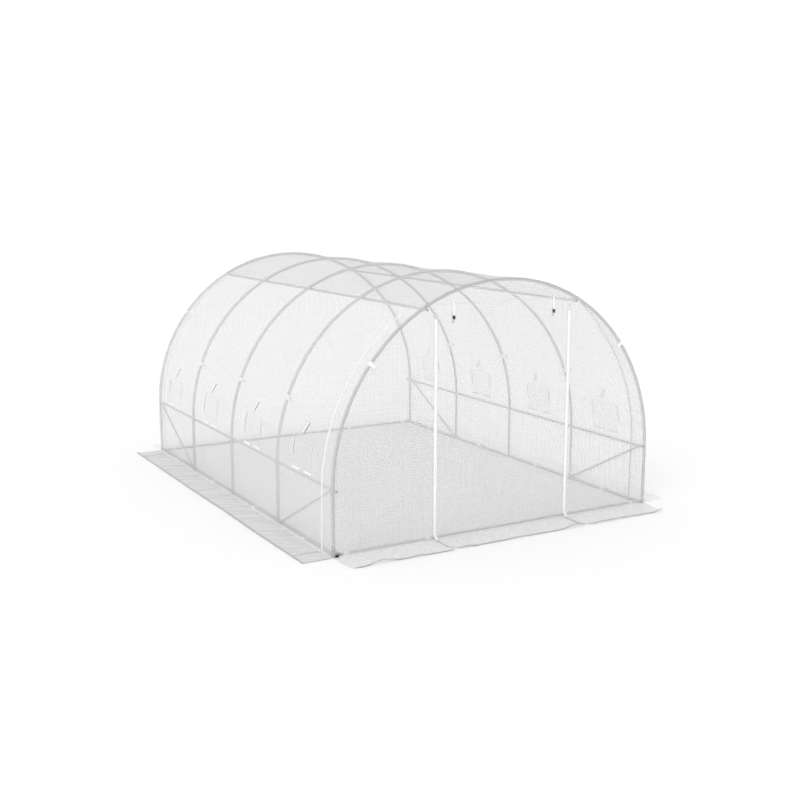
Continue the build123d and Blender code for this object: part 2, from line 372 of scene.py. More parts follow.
# The floor in the open, and under the tunnel a darker grey that is painted shade of the film's shadow
floor_and_painted_shade_tones = greys(0.97, 0.775)


def operator(operation, swapped=False):
    """A method that adds a Math node to a socket, with its two values swapped if need be."""

    def method(self, *others):
        values = (*others, self) if swapped else (self, *others)
        return self.math(operation, *values)

    return method


class Socket:
    """An output of a shader node. Python's operators on it add Math nodes."""

    __add__ = __radd__ = operator("ADD")
    __sub__ = operator("SUBTRACT")
    __rsub__ = operator("SUBTRACT", swapped=True)
    __mul__ = __rmul__ = operator("MULTIPLY")
    __truediv__ = operator("DIVIDE")
    most = operator("MAXIMUM")
    fraction = operator("FRACT")
    size = operator("ABSOLUTE")
    root = operator("SQRT")

    def __init__(self, shader, output):
        self.shader = shader
        self.output = output

    def math(self, operation, *values, clamp=False):
        settings = {"operation": operation, "use_clamp": clamp}
        return self.shader.node("ShaderNodeMath", settings, dict(enumerate(values)))

    def limited(self):
        """The value kept between 0 and 1."""
        return self.math("ADD", self, 0, clamp=True)

    def threads(self, pitch, share):
        """Soft lines across this value: 1 on a thread, 0 between two."""
        wave = ((self / pitch).fraction() * 2 - 1).size()
        return ((wave - (1 - share)) * (2 / share)).limited()

    def other(self, name):
        """Another output of the same node."""
        return Socket(self.shader, self.output.node.outputs[name])


class Shader:
    """The nodes of a material or of the world."""

    def __init__(self, owner):
        owner.use_nodes = True
        self.owner = owner
        self.tree = owner.node_tree

    def node(self, kind, settings=None, inputs=None, output=0):
        """Adds a node, sets it up, fills its sockets and hands on one of its outputs."""
        made = self.tree.nodes.new(kind)
        for name, value in (settings or {}).items():
            setattr(made, name, value)
        self.fill(made, inputs or {})
        return Socket(self, made.outputs[output])

    def fill(self, node, inputs):
        """Links or sets the sockets of a node."""
        for name, value in inputs.items():
            if isinstance(value, Socket):
                self.tree.links.new(value.output, node.inputs[name])
            else:
                node.inputs[name].default_value = value

    def measures(self, place):
        """The first two measures of a place."""
        across = self.node("ShaderNodeSeparateXYZ", {}, {"Vector": place}, "X")
        return across, across.other("Y")

    def grain(self, place, scale, detail=3.0):
        """Soft noise from 0 to 1."""
        inputs = {"Vector": place, "Scale": scale, "Detail": detail}
        return self.node("ShaderNodeTexNoise", {}, inputs, "Fac")

    def uneven(self, place, across_rate, along_rate):
        """How dense a thread is from place to place, with its own rate each way."""
        inputs = {0: place, 1: (across_rate, along_rate, 1.0)}
        stretched = self.node("ShaderNodeVectorMath", {"operation": "MULTIPLY"}, inputs)
        return 0.45 + self.grain(stretched, 1.0) * 1.1

    def mixed(self, share, low, high):
        """A colour between two."""
        node = self.node("ShaderNodeMix", {"data_type": "RGBA"}).output.node
        self.fill(node, {0: share, 6: low, 7: high})
        return Socket(self, node.outputs[2])

    def raised(self, height):
        """A normal that follows a height in metres."""
        return self.node("ShaderNodeBump", {}, {"Height": height, "Distance": 1.0, "Strength": 1.0})

    def coat(self, **inputs):
        """Sets the sockets of the material's main shader, named with underscores."""
        surface = self.tree.nodes["Principled BSDF"]
        self.fill(surface, {name.replace("_", " "): value for name, value in inputs.items()})
        return self.owner


def new_shader(name):
    """The nodes of a new material."""
    return Shader(bpy.data.materials.new(name))


def galvanised_finish():
    """Zinc with faint spangles and clouded gloss."""
    metal = new_shader("galvanised_tube")
    place = metal.node("ShaderNodeTexCoord", output="Object")
    spangle = metal.node("ShaderNodeTexVoronoi", {}, {"Vector": place, "Scale": 140.0}, "Color")
    spangle = metal.node("ShaderNodeSeparateColor", {}, {"Color": spangle}, "Red")
    cloud = metal.grain(place, 9.0)
    return metal.coat(
        Base_Color=metal.mixed((spangle * 0.5 + cloud * 0.5).limited(), *zinc_tones),
        Metallic=0.75,
        Roughness=0.30 + cloud * 0.25,
        Normal=metal.raised(spangle * 0.00005 + metal.grain(place, 400.0) * 0.00008),
    )


def black_finish():
    """Moulded black plastic with a fine grain."""
    plastic = new_shader("black_plastic")
    place = plastic.node("ShaderNodeTexCoord", output="Object")
    cloud = plastic.grain(place, 60.0)
    return plastic.coat(
        Base_Color=plastic.mixed(cloud, *black_tones),
        Specular_IOR_Level=0.2,
        Roughness=0.38 + cloud * 0.2,
        Normal=plastic.raised(plastic.grain(place, 900.0) * 0.0001),
    )


def webbing_finish(name, tones, pitch=0.0022):
    """Woven tape: fine ribs along and across it."""
    tape = new_shader(name)
    place = tape.node("ShaderNodeUVMap")
    across, along = tape.measures(place)
    ribs = across.threads(pitch, 0.7) * (along.threads(pitch * 1.6, 0.8) * 0.6 + 0.4)
    wear = tape.grain(place, 40.0)
    return tape.coat(
        Base_Color=tape.mixed((ribs * 0.6 + wear * 0.4).limited(), *tones),
        Roughness=0.55 + wear * 0.2,
        Normal=tape.raised(ribs * 0.0003),
    )


def zip_finish():
    """White tape with the ridges of a coil down its middle."""
    tape = new_shader("zip_tape")
    place = tape.node("ShaderNodeUVMap")
    across, along = tape.measures(place)
    on_coil = 1 - (across.size() * (1 / zip_coil_half) - 0.2).limited()
    coil = along.threads(0.0032, 0.8) * on_coil
    stitches = along.threads(0.006, 0.6) * across.threads(0.018, 0.12)
    wear = tape.grain(place, 30.0)
    return tape.coat(
        Base_Color=tape.mixed((0.55 + wear * 0.4 - coil * 0.15).limited(), *white_tones),
        Roughness=0.5 + wear * 0.15,
        Normal=tape.raised(coil * 0.0006 + stitches * 0.0002),
    )


def film_finish(name, tones, clear, thread, pitch=weave, roof=None, wall=False, painted_fold_shade=False):
    """Translucent film with a woven grid in it: clearer film between denser, raised threads.

    Film over the tunnel has a cloudiness to add over the roof, where its darker grey is painted shade.
    There and on an end wall it looks clearer where it lies tight on an arch. Film on the ground can take
    slantwise streaks of painted shade that follow its folds.
    """
    cover = new_shader(name)
    place = cover.node("ShaderNodeUVMap")
    across, along = cover.measures(place)
    warp = across.threads(pitch, thread_share) * cover.uneven(place, 60.0, 1.2)
    weft = along.threads(pitch, thread_share) * cover.uneven(place, 1.2, 60.0)
    grid = warp.most(weft).limited()
    haze = cover.grain(place, 1.6, 4.0)
    crinkle = cover.grain(place, 11.0, 5.0)
    # Painted shade of folds: on film on the ground, the tone and cloud follow slantwise streaks on the same
    # slant as the folds.
    if painted_fold_shade:
        slant = across + along * skirt_fold_slant
        streak = cover.node("ShaderNodeCombineXYZ", {}, {"X": slant * 16.0, "Y": along * 4.0})
        haze = ((cover.grain(streak, 1.0, 5.0) - 0.5) * 2.0 + 0.5).limited()
    tone = cover.mixed((haze * 0.6 + grid * 0.4).limited(), *tones)
    cloud = clear + grid * (thread - clear) + (haze - 0.5) * (clear * 0.5)
    if roof is not None:
        from_arch = (((along + end_place) / bay + 0.5).fraction() - 0.5).size() * bay
        on_arch = (tight_reach - from_arch * (1 / tube_radius)).limited() * tight_share
        past_end = ((along.size() - end_place) * (1 / tube_radius)).limited() * end_clear_share
        over_roof = ((roof_reach - across.size()) * (1 / roof_fade)).limited()
        cloud = (cloud + over_roof * roof) * (1 - on_arch.most(past_end))
        # Painted shade: over the roof the film takes a darker grey than on the sides.
        tone = cover.mixed(over_roof, tone, roof_painted_shade)
    if wall:
        up = (along - springing).most(0)
        from_centre = (across * across + up * up).root()
        tight = ((from_centre - arch_radius) / tube_radius + 1.0).limited()
        cloud = cloud * (1 - tight * end_clear_share)
    return cover.coat(
        Base_Color=tone,
        Roughness=0.32 + haze * 0.25,
        Alpha=cloud.limited(),
        Normal=cover.raised(grid * 0.0006 + crinkle * 0.004 + haze * 0.004),
    )


# Finishes, each with its material slot
zinc = galvanised_finish(), "galvanised_tube"
black = black_finish(), "black_plastic"
white_tape = webbing_finish("white_tape", white_tones), "white_trim"
milky_tape = webbing_finish("milky_tape", milky_tones), "white_trim"
grey_tape = webbing_finish("grey_tape", grey_tones), "white_trim"
loose_tape = grey_tape[0], "black_plastic"
fastener_painted_shadow = webbing_finish("fastener_painted_shadow", painted_shadow_tones), "white_trim"
zip_white = zip_finish(), "white_trim"
cover_cloud = {"clear": 0.12, "thread": 0.53}
tunnel_sheet = film_finish("tunnel_film", film_tones, **cover_cloud, roof=roof_cloud), "cover_film"
wall_film = film_finish("wall_film", film_tones, **cover_cloud, wall=True), "cover_film"
flap_film = film_finish("flap_film", film_tones, **cover_cloud), "cover_film"
edge_film = film_finish("edge_film", band_tones, clear=0.07, thread=0.12, roof=-1.0), "cover_film"
seam_film = film_finish("seam_film", band_tones, clear=0.10, thread=0.30), "cover_film"
foot_film = film_finish("foot_film", band_tones, clear=0.70, thread=0.85), "cover_film"
skirt_sheet = film_finish("skirt_film", skirt_tones, clear=0.42, thread=0.66, painted_fold_shade=True), "skirt_film"
# Painted light: the front skirts take a paler, clearer copy of the skirt film.
front_skirt = (
    film_finish("front_skirt_painted_light_film", front_skirt_painted_light_tones, clear=0.26, thread=0.44, painted_fold_shade=True),
    "skirt_film",
)
# Painted light: the right and back skirts take a clearer copy of the skirt film, so that they look lighter.
skirt_painted_light = film_finish("skirt_painted_light_film", skirt_tones, clear=0.10, thread=0.22, painted_fold_shade=True), "skirt_film"
# Painted shade: the dark film of the skirt hems and lap lines.
hem_painted_shade_sheet = (
    film_finish("skirt_hem_film", hem_painted_shade_tones, clear=0.60, thread=0.95, pitch=0.006, painted_fold_shade=True),
    "skirt_film",
)
window_net = film_finish("insect_net", net_tones, clear=0.0, thread=0.12, pitch=0.004), "insect_net"


def placed(name, data):
    """A new object in the scene."""
    made = bpy.data.objects.new(name, data)
    bpy.context.scene.collection.objects.link(made)
    return made


def add_piece(name, parts, finish, nodes=()):
    """Joins parts into one named piece with a finish, in place of the solids that it stands for."""
    whole = bmesh.new()
    for part in parts:
        mesh = bpy.data.meshes.new("part")
        part.to_mesh(mesh)
        part.free()
        whole.from_mesh(mesh)
        bpy.data.meshes.remove(mesh)
    mesh = bpy.data.meshes.new(name)
    whole.to_mesh(mesh)
    whole.free()
    mesh.shade_smooth()
    mesh.set_sharp_from_angle(angle=smooth_below)
    material, slot = finish
    mesh.materials.append(material)
    piece = placed(name, mesh)
    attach(piece, "root")
    if nodes:
        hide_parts(*nodes)
    return piece


def facing(place, along, side=ACROSS):
    """A frame at a place whose Z runs along a direction and whose X leans to a side."""
    up = along.normalized()
    right = (side - up * side.dot(up)).normalized()
    axes = Matrix((right, up.cross(right), up)).transposed().to_4x4()
    return Matrix.Translation(place) @ axes


def ring_frame(ring):
    """The place and size of one ring: its distance along, its half width, half depth and shift."""
    distance, half_width, half_depth, shift = ring
    return Matrix.Translation((shift, 0, distance)) @ Matrix.Diagonal((half_width, half_depth, 1, 1))


def rim_of(made):
    """The new corners and the new rim of an extrusion."""
    corners = [item for item in made if isinstance(item, bmesh.types.BMVert)]
    known = set(corners)
    rim = [item for item in made if isinstance(item, bmesh.types.BMEdge) and known.issuperset(item.verts)]
    return corners, rim


def extruded(shape, rim):
    """Grows a rim without moving it, and hands on its new corners and the new rim."""
    return rim_of(bmesh.ops.extrude_edge_only(shape, edges=rim)["geom"])


def ringed(rings, facets, where, hollow=False):
    """A bar, cap or collar built up ring by ring along Z, then put in its place."""
    bar = bmesh.new()
    first = ring_frame(rings[0])
    bmesh.ops.create_circle(bar, cap_ends=not hollow, segments=facets, radius=1, matrix=first)
    start = bar.edges[:]
    rim = start
    for last, ring in zip(rings, rings[1:]):
        corners, rim = extruded(bar, rim)
        step = ring_frame(ring) @ ring_frame(last).inverted()
        bmesh.ops.transform(bar, matrix=step, verts=corners, space=Matrix.Identity(4))
    if hollow:
        bmesh.ops.bridge_loops(bar, edges=start + rim)
    else:
        bmesh.ops.contextual_create(bar, geom=rim)
    bmesh.ops.transform(bar, matrix=where, verts=bar.verts, space=Matrix.Identity(4))
    bmesh.ops.recalc_face_normals(bar, faces=bar.faces)
    mark_flat(bar)
    return bar


def turned(profile, where, depth=1, radius=1, facets=tube_facets, hollow=False):
    """A turned shape from its distances and radii, or from shares of a depth and a radius."""
    rings = [(far * depth, wide * radius, wide * radius, 0) for far, wide in profile]
    return ringed(rings, facets, where, hollow)


def mark_flat(shape):
    """Lays the pattern of a tape over a shape from its own coordinates, in metres."""
    layer = shape.loops.layers.uv.verify()
    for face in shape.faces:
        for loop in face.loops:
            place = loop.vert.co
            loop[layer].uv = (place.x + place.y, place.z)


def flat_sheet(low, high, columns, rows):
    """A flat sheet between two corners."""
    sheet = bmesh.new()
    bmesh.ops.create_grid(sheet, x_segments=columns, y_segments=rows, size=0.5)
    width, length = high[0] - low[0], high[1] - low[1]
    bmesh.ops.scale(sheet, vec=(width, length, 1), verts=sheet.verts)
    centre = ((low[0] + high[0]) / 2, (low[1] + high[1]) / 2, 0)
    bmesh.ops.translate(sheet, vec=centre, verts=sheet.verts)
    return sheet


def cells(reach, cell=film_cell):
    """How many cells a reach is divided into."""
    return max(1, round(reach / cell))


def cut(sheet, place, outward, trim=False):
    """Cuts a flat sheet along a line, which can also trim away what lies outside it."""
    every = sheet.verts[:] + sheet.edges[:] + sheet.faces[:]
    line = {"plane_co": place, "plane_no": outward, "dist": cut_reach}
    bmesh.ops.bisect_plane(sheet, geom=every, clear_outer=trim, **line)


def score(sheet, axis, places):
    """Cuts lines square to an axis into a flat sheet, which stays whole."""
    for place in places:
        cut(sheet, axis * place, axis)


def take_out(sheet, unwanted):
    """Takes the faces out of a sheet whose centres pass a test."""
    gone = [face for face in sheet.faces if unwanted(face.calc_center_median())]
    bmesh.ops.delete(sheet, geom=gone, context="FACES")


def cut_out(sheet, low, high):
    """Takes the faces between two corners out of a scored sheet."""
    take_out(sheet, lambda at: low[0] < at.x < high[0] and low[1] < at.y < high[1])


def form(sheet, bend, thickness):
    """Keeps a flat sheet's own measure as its pattern, bends it into place and gives it thickness."""
    layer = sheet.loops.layers.uv.verify()
    for face in sheet.faces:
        for loop in face.loops:
            loop[layer].uv = loop.vert.co.xy
    for corner in sheet.verts:
        corner.co = bend(corner.co.x, corner.co.y)
    sheet.normal_update()
    bmesh.ops.solidify(sheet, geom=sheet.faces[:], thickness=thickness)
    bmesh.ops.recalc_face_normals(sheet, faces=sheet.faces)
    return sheet


def bent(low, high, columns, rows, bend, thickness):
    """A sheet between two flat corners, formed into its place."""
    return form(flat_sheet(low, high, columns, rows), bend, thickness)


def ruffled(across, along, layers, depth=0):
    """Layers of soft noise, added up."""
    total = 0
    for share, across_rate, along_rate, place in layers:
        total += share * noise.noise(Vector((across * across_rate, along * along_rate, place + depth)))
    return total


def kept_share(value):
    """A value kept between 0 and 1."""
    return min(1, max(0, value))


def over_arch(angle, side):
    """The direction out from the arch's centre line, at an angle up from the springing line."""
    return Vector((side * cos(angle), 0, sin(angle)))


def rise_to_across(rise):
    """How far from the crown, over the film, a rise above the springing line is."""
    return crown_to_spring - film_radius * asin(rise / film_radius)


def slack(across, along):
    """How far the film hangs in between two arches, with its puckers."""
    share = sin(pi * ((along + end_place) / bay % 1))
    crown_share = max(0, cos(across / film_radius)) if abs(across) < crown_to_spring else 0
    ground_share = kept_share((cover_reach - abs(across)) / slack_fade)
    depth = side_slack + (crown_slack - side_slack) * crown_share
    return share * ground_share * (ruffled(across, along, COVER_FOLDS) - depth)


def over_tunnel(across, along, lift=0):
    """A place on the cover, from its distances over from the crown and along from the middle.

    Past the end arches the film rolls over the tube and goes on down the end wall.
    """
    angle = min(abs(across) / film_radius, pi / 2)
    drop = max(0, abs(across) - crown_to_spring)
    outward = Vector((copysign(sin(angle), across), 0, cos(angle)))
    axis_point = outward * arch_radius + UP * (springing - drop)
    past_arch = abs(along) - end_place
    if past_arch <= 0:
        return axis_point + outward * (film_stand + lift + slack(across, along)) + ALONG * along
    turn = min(past_arch / film_stand, pi / 2)
    inward = max(0, past_arch - end_roll)
    stand = film_stand + lift
    place = copysign(end_place + stand * sin(turn), along)
    return axis_point + outward * (stand * cos(turn) - inward) + ALONG * place


def wall_bulge(across, height):
    """How far an end wall stands out from its plane."""
    reach = Vector((across, max(0, height - springing))).length
    edge_share = kept_share((arch_radius - reach) / billow_edge)
    ground_share = kept_share(height / billow_edge)
    return billow * ruffled(across, height, WALL_WAVES) * edge_share * ground_share


def on_wall(end, across, height, lift=0):
    """A place on an end wall, from its distances over from the middle and up."""
    return Vector((-end * across, end * (wall_place + lift + wall_bulge(-end * across, height)), height))


def pull(tube, rim, step):
    """Draws a tube's open end out by a step."""
    corners, rim = extruded(tube, rim)
    bmesh.ops.translate(tube, vec=step, verts=corners)
    return rim


def joint_line(tube, rim, along):
    """A fine groove round a tube, where one length plugs into the next, which takes up no length."""
    for neck, back in ((joint_neck_share, -1), (1, 0), (1, 1), (1 / joint_neck_share, 0)):
        corners, rim = extruded(tube, rim)
        bmesh.ops.translate(tube, vec=along * (back * joint_groove / 2), verts=corners)
        centre = sum((corner.co for corner in corners), Vector()) / len(corners)
        bmesh.ops.scale(tube, vec=(neck, neck, neck), space=Matrix.Translation(-centre), verts=corners)
    return rim


def build_arch(name, place):
    """One tube, bent over a half circle between two straight legs, with joint lines between its lengths."""
    tube = bmesh.new()
    foot = Matrix.Translation((arch_radius, place, leg_foot))
    bmesh.ops.create_circle(tube, cap_ends=True, segments=tube_facets, radius=tube_radius, matrix=foot)
    leg = UP * (springing - leg_foot)
    rim = joint_line(tube, pull(tube, tube.edges[:], leg), UP)
    for heading in (-ACROSS, -UP):
        quarter = bmesh.ops.spin(
            tube,
            geom=rim + list(dict.fromkeys(corner for edge in rim for corner in edge.verts)),
            cent=(0, place, springing),
            axis=-ALONG,
            angle=pi / 2,
            steps=arch_steps // 2,
        )
        rim = joint_line(tube, rim_of(quarter["geom_last"])[1], heading)
    bmesh.ops.contextual_create(tube, geom=pull(tube, rim, -leg))
    bmesh.ops.recalc_face_normals(tube, faces=tube.faces)
    add_piece(f"{name}_tube", [tube], zinc, [name])


def rail_tube(centre, half):
    """A straight tube to both sides of its centre, with a joint line halfway along it."""
    start, end = centre - half, centre + half
    reach = (end - start).length
    near, far = reach / 2, reach / 2 + joint_groove
    neck = rail_radius * joint_neck_share
    profile = [(0, rail_radius), (near, rail_radius), (near, neck), (far, neck), (far, rail_radius)]
    profile.append((reach, rail_radius))
    return turned(profile, facing(start, end - start, start.cross(end) + ACROSS))


def brace_ends(side, end):
    """The bolted points of a brace, at the side rail and at the foot of the next arch."""
    across = middle("right_braces").x * side
    top = Vector((across, end * (end_place - brace_setback), springing))
    foot = Vector((across, end * (end_place - bay + brace_setback), base_rail_height + brace_foot_rise))
    return top, foot


def build_brace(side, end):
    """A tube whose ends are pressed flat against what they are bolted to."""
    top, foot = brace_ends(side, end)
    along = (foot - top).normalized()
    start = top - along * brace_past_bolt
    reach = (foot - top).length + 2 * brace_past_bolt
    flat = brace_tongue - brace_radius
    tongue = (brace_tongue, brace_tongue_width, flat)
    half = [
        (0, brace_tongue * brace_tip_share, brace_tongue_width * brace_tip_width_share, flat),
        (brace_tongue, *tongue),
        (brace_lap, *tongue),
        (brace_lap + brace_slope, brace_radius, brace_radius, 0),
    ]
    rings = half + [(reach - distance, *size) for distance, *size in reversed(half)]
    return ringed(rings, tube_facets, facing(start, along, ACROSS * side))


def bolt(head_at, nut_at):
    """A domed bolt head on one side, a nut and the thread's end on the other."""
    outward = (head_at - nut_at).normalized()
    side = outward.orthogonal()
    head, tail = facing(head_at, outward, side), facing(nut_at, -outward, side)
    return [
        turned(DOME, head, bolt_dome, bolt_head, bolt_facets),
        turned(NUT, tail, nut_depth, nut_radius, nut_facets),
        turned(THREAD, tail, nut_depth, thread_radius, bolt_facets),
    ]


def build_tubes():
    """The whole frame of tubes with its bolts."""
    for name, place in zip(ARCHES, arch_places):
        build_arch(name, place)
    half = ALONG * rail_reach
    for side_name, side in SIDES.items():
        for node in (f"{side_name}_side_rail", f"{side_name}_purlin"):
            add_piece(f"{node}_tube", [rail_tube(middle(node), half)], zinc, [node])
        braces = [build_brace(side, end) for end in BOTH]
        add_piece(f"{side_name}_brace_tubes", braces, zinc, [f"{side_name}_braces"])
    low = UP * base_rail_height
    base_rails = [rail_tube(ACROSS * (side * base_rail_place) + low, half) for side in BOTH]
    half = ACROSS * cross_rail_reach
    cross_rails = [rail_tube(ALONG * (end * cross_rail_place) + low, half) for end in BOTH]
    add_piece("side_base_rail_tubes", base_rails, zinc, ["side_base_rails"])
    add_piece("cross_base_rail_tubes", cross_rails, zinc, ["cross_base_rails"])

    bolts = []
    outer, inner = arch_radius + tube_radius, rail_orbit - rail_radius
    past_rail = sqrt(rail_radius**2 - brace_foot_rise**2)
    for side in BOTH:
        for place in arch_places:
            centre = ALONG * place + UP * springing
            for angle in (0, purlin_angle):
                outward = over_arch(angle, side)
                bolts += bolt(centre + outward * outer, centre + outward * inner)
        for end in BOTH:
            inner_faces = (inner, base_rail_place - past_rail)
            for point, inner_face in zip(brace_ends(side, end), inner_faces):
                head = point - ACROSS * (side * (brace_radius - 2 * brace_tongue))
                bolts += bolt(head, Vector((side * inner_face, point.y, point.z)))
    add_piece("frame_bolts", bolts, zinc)


def build_caps():
    """Steel cups under the legs and black plugs in the ends of the long tubes."""
    wall = foot_radius - tube_radius
    cup = [
        (0, foot_radius - wall),
        (wall, foot_radius),
        (foot_depth - wall / 2, foot_radius),
        (foot_depth, foot_radius - wall / 2),
        (foot_depth, tube_radius),
        (leg_foot, tube_radius),
    ]
    cups, plugs = [], []
    for side_name, side in SIDES.items():
        for place in arch_places:
            cups.append(turned(cup, Matrix.Translation((side * arch_radius, place, 0))))
        spots = [middle(f"{side_name}_side_rail"), middle(f"{side_name}_purlin")]
        spots.append(ACROSS * (side * base_rail_place) + UP * base_rail_height)
        for spot in spots:
            for end in BOTH:
                in_slit = spot is spots[-1] and side < 0 and end < 0
                depth = (cap_reach - rail_reach) * (slit_plug_share if in_slit else 1)
                face = Vector((spot.x, end * rail_reach, spot.z))
                plugs.append(turned(PLUG, facing(face, ALONG * end), depth, rail_radius))
    add_piece("leg_foot_cups", cups, zinc, ["foot_caps"])
    add_piece("rail_end_plugs", plugs, black, ["rail_end_caps"])


def tails(bend):
    """The two loose tails of a tie, one to each hand."""
    low, high = (-tail_width / 2, 0), (tail_width / 2, tail_length)
    return [bent(low, high, 1, tail_rows, lambda x, y: bend(hand, x, y), film) for hand in BOTH]


def tie(place, along, radius, inward):
    """A white tie: a collar round a tube, knotted on the inside, with two loose tails."""
    inner = radius + tie_gap
    outer = inner + tie_wall
    half, flat = tie_width / 2, tie_width / 2 * tie_flat_share
    collar = [(-half, inner), (-half, outer - tie_wall / 2), (-flat, outer), (flat, outer)]
    collar += [(half, outer - tie_wall / 2), (half, inner)]
    knot_at = place + inward * (outer + tail_width * knot_rise_share)
    down = -UP if abs(along.z) < steep_share else (inward - UP).normalized()

    def hang(hand, across, length):
        bow = inward * (tail_bow_share * tail_length * sin(pi * length / tail_length))
        droop = (along * (hand * tail_splay_share) + down).normalized() * length
        return knot_at + along * across + droop + bow

    return [
        turned(collar, facing(place, along, inward), hollow=True),
        turned(KNOT, facing(knot_at, along, inward), tail_width, tail_width, bolt_facets),
        *tails(hang),
    ]


def low_tie(place, along, inward):
    """A tie round a base rail, whose collar alone shows: its tails lie on the ground inside."""
    inner = rail_radius + tie_gap
    half, flat = tie_width / 2, tie_width / 2 * tie_flat_share
    collar = [(-half, inner), (-flat, base_rail_height), (flat, base_rail_height), (half, inner)]

    def lie(hand, across, length):
        spread = along * (across + hand * tail_splay_share * length)
        ground = place - UP * (place.z - film * 2)
        curl = UP * (tail_curl * max(0, 1 - length / (tail_length / 2)) ** 2)
        return ground + spread + inward * (rail_radius + length) + curl

    return [turned(collar, facing(place, along, inward), hollow=True), *tails(lie)]


def end_tab(side, end, angle):
    """A white tab that grips the film from outside at an end arch and lies towards the door end."""
    across = side * (crown_to_spring - film_radius * angle)
    on_cover, on_end_wall = (0, tab_reach) if end < 0 else (tab_reach, 0)
    low = (across * end - tab_breadth / 2, end_place - on_cover)
    high = (across * end + tab_breadth / 2, end_place + end_roll + on_end_wall)
    lift = hem_lift + strip_film
    return bent(low, high, 2, tab_rows, lambda x, y: over_tunnel(x * end, y * end, lift), strip_film)


def film_tab(side, centre, height, breadth):
    """A milky tab on the outside of the film where it is tied to a tube."""
    across, along = centre
    low = (across - height / 2, along - breadth / 2)
    high = (across + height / 2, along + breadth / 2)
    return bent(low, high, 3, 2, lambda x, y: over_tunnel(side * x, y, hem_lift), strip_film)


def build_ties():
    """Ties round the arches and the base rails, and the tabs outside the film where it is tied."""
    ties, end_tabs, film_tabs = [], [], []
    for place in arch_places:
        at_end = abs(place) > end_place - bay / 2
        angle = end_tie_angle if at_end else middle_tie_angle
        for side in BOTH:
            outward = over_arch(angle, side)
            centre = outward * arch_radius + ALONG * place + UP * springing
            ties += tie(centre, outward.cross(ALONG), tube_radius, -outward)
            if at_end:
                end_tabs.append(end_tab(side, copysign(1, place), angle))
            else:
                centre = (crown_to_spring - film_radius * angle, place - arch_tab_shift)
                film_tabs.append(film_tab(side, centre, arch_tab_height, arch_tab_breadth))
    for place in bay_places:
        for side in BOTH:
            centre = Vector((side * base_rail_place, place, base_rail_height))
            ties += low_tie(centre, ALONG, ACROSS * -side)
            centre = (cover_reach - base_rail_height, place)
            film_tabs.append(film_tab(side, centre, base_tab_height, base_tab_breadth))
    for reach in (base_rail_place - corner_tie_inset, door_half + door_tie_gap):
        for side in BOTH:
            for end in BOTH:
                centre = Vector((side * reach, end * cross_rail_place, base_rail_height))
                ties += low_tie(centre, ACROSS, ALONG * -end)
    add_piece("film_ties", ties, white_tape, ["tube_ties"])
    end_tab_piece = add_piece("end_arch_tabs", end_tabs, white_tape)
    return [end_tab_piece, add_piece("tied_film_tabs", film_tabs, milky_tape)]


def build_cover():
    """The film over the arches, in one sheet with its window openings.

    Its low corners are cut away past the end arches, where the film is slit for the tubes' ends.
    """
    edge = end_place + end_roll
    columns, rows = cells(2 * cover_reach, arc_cell), cells(2 * edge)
    sheet = flat_sheet((-cover_reach, -edge), (cover_reach, edge), columns, rows)
    for end in BOTH:
        steps = [end_place + end_roll * step / roll_steps for step in range(roll_steps)]
        score(sheet, ALONG, [end * step for step in steps])
    score(sheet, ALONG, arch_places[1:-1])
    window_sides = [rise_to_across(window_low), rise_to_across(window_high)]
    for side in BOTH:
        score(sheet, ACROSS, [side * across for across in window_sides])
    half = window_breadth / 2
    for place in window_places:
        score(sheet, ALONG, [place - half, place + half])
    for place in window_places:
        for side in BOTH:
            low, high = sorted(side * across for across in window_sides)
            cut_out(sheet, (low, place - half), (high, place + half))
    take_out(sheet, lambda at: abs(at.y) > end_place and abs(at.x) > cover_reach - corner_slit)
    return add_piece("tunnel_film", [form(sheet, over_tunnel, film)], tunnel_sheet, COVERS)


def band_width(across):
    """The edge band's width: broadest at the ground, and on the right broader but narrow under the roof."""
    share = min(1, (cover_reach - abs(across)) / (2 * springing))
    width = band_low + (band_high - band_low) * share
    if across <= 0:
        return width
    grown = kept_share((across - roof_reach) / right_band_rise)
    return (width + right_band_more) * (right_band_start + (1 - right_band_start) * grown)


def band_ribbon(end, span, inset, width, lift, thickness):
    """A strip over an end arch between two distances from the crown, set in from the band's edge."""
    low, high = span
    sheet = flat_sheet((low, 0), (high, 1), cells(high - low, arc_cell), cells(width, band_cell))
    for corner in sheet.verts:
        rear = band_edge - band_width(corner.co.x * end) + inset
        fore = min(rear + width, end_place)
        corner.co.y = rear + (fore - rear) * corner.co.y
    return form(sheet, lambda x, y: over_tunnel(x * end, y * end, lift), thickness)


def build_band(end_name, end):
    """The end wall's hem, turned over the end arch onto the cover, and the tape welded along it.

    The tape runs up both sides to the roof, with a lining behind it on the inside; the front one's grey is
    painted shade of the tape's inner side.
    """
    top = film_radius * (pi / 2 - hem_top_angle)
    spans = [(-cover_reach, -top), (top, cover_reach)]
    inset = (hem_width - lining_width) / 2
    breadth = band_low + right_band_more
    band = band_ribbon(end, (-cover_reach, cover_reach), 0, breadth, band_lift, film)
    hems = [band_ribbon(end, span, 0, hem_width, hem_lift, hem_film) for span in spans]
    linings = [band_ribbon(end, span, inset, lining_width, -band_lift, film) for span in spans]
    # At the front the lining is grey: painted shade of the white tape's inner side.
    tape, lining = (white_tape, grey_tape) if end < 0 else (seam_film, seam_film)
    hem_piece = add_piece(f"{end_name}_band_tape", hems, tape)
    lining_piece = add_piece(f"{end_name}_band_lining", linings, lining)
    band_piece = add_piece(f"{end_name}_band_film", [band], edge_film, [f"{end_name}_edge_band"])
    return band_piece, [hem_piece, lining_piece]


